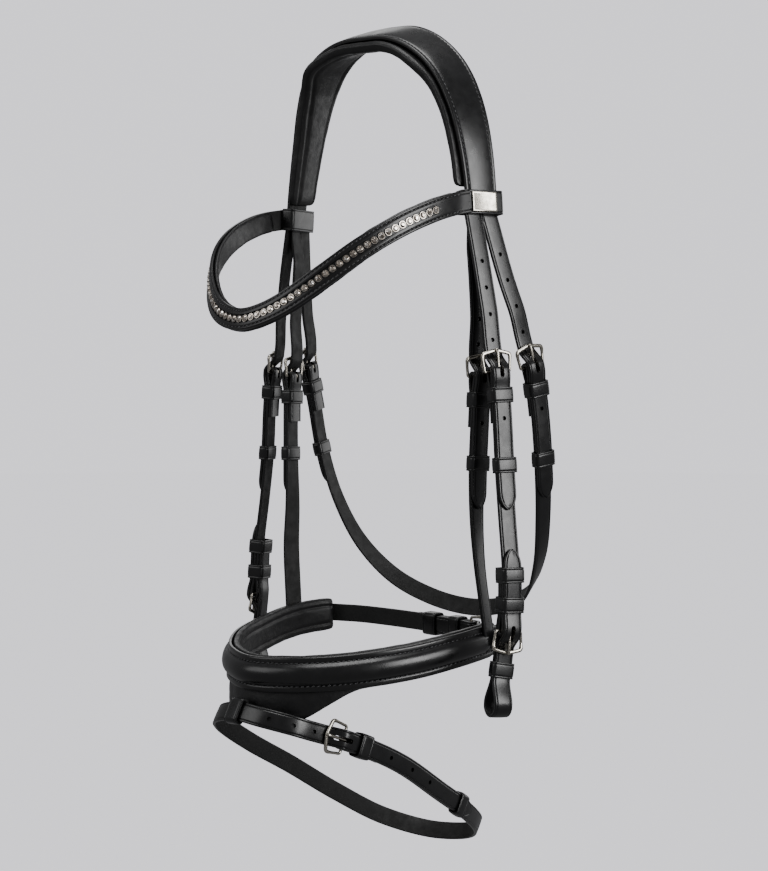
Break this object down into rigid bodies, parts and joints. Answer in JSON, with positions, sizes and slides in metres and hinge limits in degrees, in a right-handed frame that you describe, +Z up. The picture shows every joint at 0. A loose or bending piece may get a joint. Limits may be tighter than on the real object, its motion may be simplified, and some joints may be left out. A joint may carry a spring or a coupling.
{
  "type": "snaffle bridle",
  "caption": "Padded leather snaffle bridle with a crystal browband, buckled cheekpieces, a padded noseband with a flash strap, and a throatlatch; no bit or reins.",
  "frame": {"origin": "the underside of the headpiece's padding, at the middle of the poll", "axes": "+Z up as it hangs on the horse; the horse faces -Y; its near (left) side is +X"},
  "size_m": [0.2702, 0.2437, 0.6048],
  "materials": {
    "bridle_leather": "satin",
    "padding_leather": "soft matte",
    "stainless_steel": "polished",
    "crystal_chain": "faceted crystals in silver cups"
  },
  "bodies": {
    "headpiece": {"headpiece_crown": "bridle_leather", "headpiece_padding": "padding_leather"},
    "browband": {"browband_strap": "bridle_leather", "browband_padding": "padding_leather", "crystal_chain": "crystal_chain", "name_plate": "stainless_steel"},
    "cheekpiece_near": {"cheek_billet_near": "bridle_leather", "cheek_strap_near": "bridle_leather", "cheek_near_buckle": "stainless_steel", "cheek_keeper_near": "bridle_leather", "bit_billet_near": "bridle_leather", "bit_near_buckle": "stainless_steel", "bit_keeper_upper_near": "bridle_leather", "bit_keeper_middle_near": "bridle_leather", "bit_keeper_lower_near": "bridle_leather"},
    "cheek_near_tongue": {"cheek_near_tongue": "stainless_steel"},
    "bit_near_tongue": {"bit_near_tongue": "stainless_steel"},
    "cheek_runner_near": {"cheek_runner_near": "bridle_leather"},
    "cheekpiece_off": {"cheek_billet_off": "bridle_leather", "cheek_strap_off": "bridle_leather", "cheek_off_buckle": "stainless_steel", "cheek_keeper_off": "bridle_leather", "bit_billet_off": "bridle_leather", "bit_off_buckle": "stainless_steel", "bit_keeper_upper_off": "bridle_leather", "bit_keeper_middle_off": "bridle_leather", "bit_keeper_lower_off": "bridle_leather"},
    "cheek_off_tongue": {"cheek_off_tongue": "stainless_steel"},
    "bit_off_tongue": {"bit_off_tongue": "stainless_steel"},
    "cheek_runner_off": {"cheek_runner_off": "bridle_leather"},
    "noseband": {"hanger_billet_near": "bridle_leather", "hanger_strap_near": "bridle_leather", "hanger_billet_off": "bridle_leather", "hanger_strap_off": "bridle_leather", "hanger_near_buckle": "stainless_steel", "hanger_off_buckle": "stainless_steel", "noseband_leather": "bridle_leather", "noseband_padding": "padding_leather", "chin_strap": "bridle_leather", "chin_billet": "bridle_leather", "chin_buckle": "stainless_steel", "chin_keeper": "bridle_leather"},
    "throatlatch": {"throat_billet_near": "bridle_leather", "throat_billet_off": "bridle_leather", "throat_strap": "bridle_leather", "throat_near_buckle": "stainless_steel", "throat_off_buckle": "stainless_steel"},
    "hanger_near_tongue": {"hanger_near_tongue": "stainless_steel"},
    "hanger_runner_near": {"hanger_runner_near": "bridle_leather"},
    "throat_near_tongue": {"throat_near_tongue": "stainless_steel"},
    "throat_runner_near": {"throat_runner_near": "bridle_leather"},
    "hanger_off_tongue": {"hanger_off_tongue": "stainless_steel"},
    "hanger_runner_off": {"hanger_runner_off": "bridle_leather"},
    "throat_off_tongue": {"throat_off_tongue": "stainless_steel"},
    "throat_runner_off": {"throat_runner_off": "bridle_leather"},
    "chin_tongue": {"chin_tongue": "stainless_steel"},
    "flash": {"flash_strap": "bridle_leather", "flash_buckle": "stainless_steel", "flash_keeper": "bridle_leather"},
    "flash_tongue": {"flash_tongue": "stainless_steel"}
  },
  "joints": [
    {"name": "browband_slide", "type": "slide", "parent": "headpiece", "child": "browband", "axis": [0, 0, 1], "range_m": [-0.002, 0.002]},
    {"name": "cheekpiece_near_swing", "type": "hinge", "parent": "headpiece", "child": "cheekpiece_near", "pos_m": [0.092, -0.0065, -0.1253], "axis": [1, 0, 0], "range_deg": [-10, 6]},
    {"name": "cheek_near_tongue_swing", "type": "hinge", "parent": "cheekpiece_near", "child": "cheek_near_tongue", "pos_m": [0.11152, -0.005, -0.22853], "axis": [0.337, 0.9407, 0.0395], "range_deg": [0, 95]},
    {"name": "bit_near_tongue_swing", "type": "hinge", "parent": "cheekpiece_near", "child": "bit_near_tongue", "pos_m": [0.12606, -0.00996, -0.39925], "axis": [-0.344, -0.9324, 0.1111], "range_deg": [0, 95]},
    {"name": "cheek_runner_near_slide", "type": "slide", "parent": "cheekpiece_near", "child": "cheek_runner_near", "axis": [0.0902, -0.0134, -0.9958], "range_m": [-0.012, 0.012]},
    {"name": "cheekpiece_off_swing", "type": "hinge", "parent": "headpiece", "child": "cheekpiece_off", "pos_m": [-0.092, -0.0065, -0.1253], "axis": [1, 0, 0], "range_deg": [-10, 6]},
    {"name": "cheek_off_tongue_swing", "type": "hinge", "parent": "cheekpiece_off", "child": "cheek_off_tongue", "pos_m": [-0.11152, -0.005, -0.22853], "axis": [0.337, -0.9407, -0.0395], "range_deg": [0, 95]},
    {"name": "bit_off_tongue_swing", "type": "hinge", "parent": "cheekpiece_off", "child": "bit_off_tongue", "pos_m": [-0.12606, -0.00996, -0.39925], "axis": [-0.344, 0.9324, -0.1111], "range_deg": [0, 95]},
    {"name": "cheek_runner_off_slide", "type": "slide", "parent": "cheekpiece_off", "child": "cheek_runner_off", "axis": [-0.0902, -0.0134, -0.9958], "range_m": [-0.012, 0.012]},
    {"name": "noseband_swing", "type": "hinge", "parent": "headpiece", "child": "noseband", "pos_m": [0, -0.0015, -0.1253], "axis": [1, 0, 0], "range_deg": [-8, 4.5]},
    {"name": "throatlatch_swing", "type": "hinge", "parent": "headpiece", "child": "throatlatch", "pos_m": [0, 0.0095, -0.1273], "axis": [1, 0, 0], "range_deg": [-1, 22]},
    {"name": "hanger_near_tongue_swing", "type": "hinge", "parent": "noseband", "child": "hanger_near_tongue", "pos_m": [0.09301, -0.00222, -0.23189], "axis": [0.2078, 0.9778, -0.027], "range_deg": [0, 35]},
    {"name": "hanger_runner_near_slide", "type": "slide", "parent": "noseband", "child": "hanger_runner_near", "axis": [-0.0242, -0.0224, -0.9995], "range_m": [-0.012, 0.012]},
    {"name": "throat_near_tongue_swing", "type": "hinge", "parent": "throatlatch", "child": "throat_near_tongue", "pos_m": [0.11112, 0.03138, -0.22482], "axis": [0.2451, 0.94, 0.2372], "range_deg": [0, 95]},
    {"name": "throat_runner_near_slide", "type": "slide", "parent": "throatlatch", "child": "throat_runner_near", "axis": [-0.0971, 0.1971, -0.9756], "range_m": [-0.005, 0.008]},
    {"name": "hanger_off_tongue_swing", "type": "hinge", "parent": "noseband", "child": "hanger_off_tongue", "pos_m": [-0.09301, -0.00222, -0.23189], "axis": [0.2078, -0.9778, 0.027], "range_deg": [0, 35]},
    {"name": "hanger_runner_off_slide", "type": "slide", "parent": "noseband", "child": "hanger_runner_off", "axis": [0.0242, -0.0224, -0.9995], "range_m": [-0.012, 0.012]},
    {"name": "throat_off_tongue_swing", "type": "hinge", "parent": "throatlatch", "child": "throat_off_tongue", "pos_m": [-0.11112, 0.03138, -0.22482], "axis": [0.2451, -0.94, -0.2372], "range_deg": [0, 95]},
    {"name": "throat_runner_off_slide", "type": "slide", "parent": "throatlatch", "child": "throat_runner_off", "axis": [0.0971, 0.1971, -0.9756], "range_m": [-0.005, 0.008]},
    {"name": "chin_tongue_swing", "type": "hinge", "parent": "noseband", "child": "chin_tongue", "pos_m": [0.0496, 0.03926, -0.413], "axis": [0, 0, 1], "range_deg": [0, 95]},
    {"name": "flash_swing", "type": "hinge", "parent": "noseband", "child": "flash", "pos_m": [0, -0.137, -0.452], "axis": [1, 0, 0], "range_deg": [-5, 2]},
    {"name": "flash_tongue_swing", "type": "hinge", "parent": "flash", "child": "flash_tongue", "pos_m": [0.04947, -0.08744, -0.47128], "axis": [-0.0226, 0.3818, 0.924], "range_deg": [0, 95]}
  ]
}
